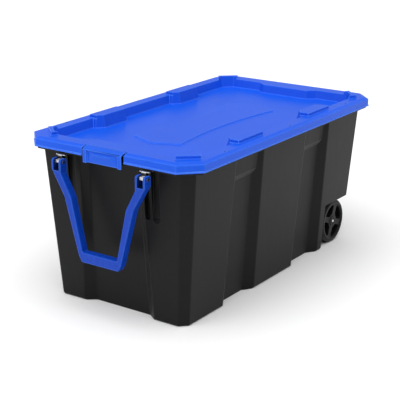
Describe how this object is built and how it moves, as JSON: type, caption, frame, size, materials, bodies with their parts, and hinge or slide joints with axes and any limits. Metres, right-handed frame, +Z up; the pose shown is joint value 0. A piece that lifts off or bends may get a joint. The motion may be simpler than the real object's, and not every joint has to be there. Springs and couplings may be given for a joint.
{
  "type": "wheeled deck storage box",
  "caption": "Wheeled storage box for a deck: ribbed tub, clip-down lid with end latches, hinged pull handle and two wheels on a steel axle.",
  "frame": {"origin": "middle of the tub's footprint, on the ground", "axes": "+X towards the wheel end, -X towards the pull handle, +Y to the left when looking from the handle to the wheels, +Z up"},
  "size_m": [1.1215, 0.632, 0.522],
  "materials": {
    "tub_black_plastic": "black injection-moulded polypropylene, fine grain",
    "lid_blue_plastic": "bright blue injection-moulded polypropylene, satin",
    "latch_blue_plastic": "bright blue moulded polypropylene, satin",
    "handle_blue_plastic": "bright blue moulded polypropylene, satin",
    "zinc_strap": "zinc-plated steel strap",
    "rivet_steel": "zinc-plated steel",
    "pin_steel": "zinc-plated steel",
    "axle_steel": "bright drawn steel rod",
    "washer_steel": "zinc-plated steel",
    "retainer_steel": "blackened spring steel",
    "wheel_black_plastic": "black moulded polyethylene"
  },
  "bodies": {
    "tub": {"tub": "tub_black_plastic", "handle_bracket_left": "zinc_strap", "handle_bracket_right": "zinc_strap", "bracket_rivet_left_outer": "rivet_steel", "bracket_rivet_left_inner": "rivet_steel", "bracket_rivet_right_outer": "rivet_steel", "bracket_rivet_right_inner": "rivet_steel", "axle": "axle_steel", "axle_washer_left": "washer_steel", "axle_washer_right": "washer_steel", "axle_retainer_left": "retainer_steel", "axle_retainer_right": "retainer_steel"},
    "lid": {"lid": "lid_blue_plastic"},
    "front_latch": {"front_latch": "latch_blue_plastic"},
    "rear_latch": {"rear_latch": "latch_blue_plastic"},
    "handle": {"pull_handle": "handle_blue_plastic", "pivot_pin_left": "pin_steel", "pivot_pin_right": "pin_steel"},
    "wheel_left": {"wheel_left": "wheel_black_plastic"},
    "wheel_right": {"wheel_right": "wheel_black_plastic"}
  },
  "joints": [
    {"name": "lid_lift", "type": "slide", "parent": "tub", "child": "lid", "axis": [0, 0, 1], "range_m": [0, 0.2]},
    {"name": "front_latch_swing", "type": "hinge", "parent": "lid", "child": "front_latch", "pos_m": [-0.528, 0, 0.507], "axis": [0, 1, 0], "range_deg": [0, 90]},
    {"name": "rear_latch_swing", "type": "hinge", "parent": "lid", "child": "rear_latch", "pos_m": [0.528, 0, 0.507], "axis": [0, -1, 0], "range_deg": [0, 90]},
    {"name": "handle_swing", "type": "hinge", "parent": "tub", "child": "handle", "pos_m": [-0.558, 0, 0.456], "axis": [0, 1, 0], "range_deg": [0, 120]},
    {"name": "wheel_left_spin", "type": "hinge", "parent": "tub", "child": "wheel_left", "pos_m": [0.407, 0.214, 0.077], "axis": [0, 1, 0], "continuous": true},
    {"name": "wheel_right_spin", "type": "hinge", "parent": "tub", "child": "wheel_right", "pos_m": [0.407, -0.214, 0.077], "axis": [0, 1, 0], "continuous": true}
  ]
}
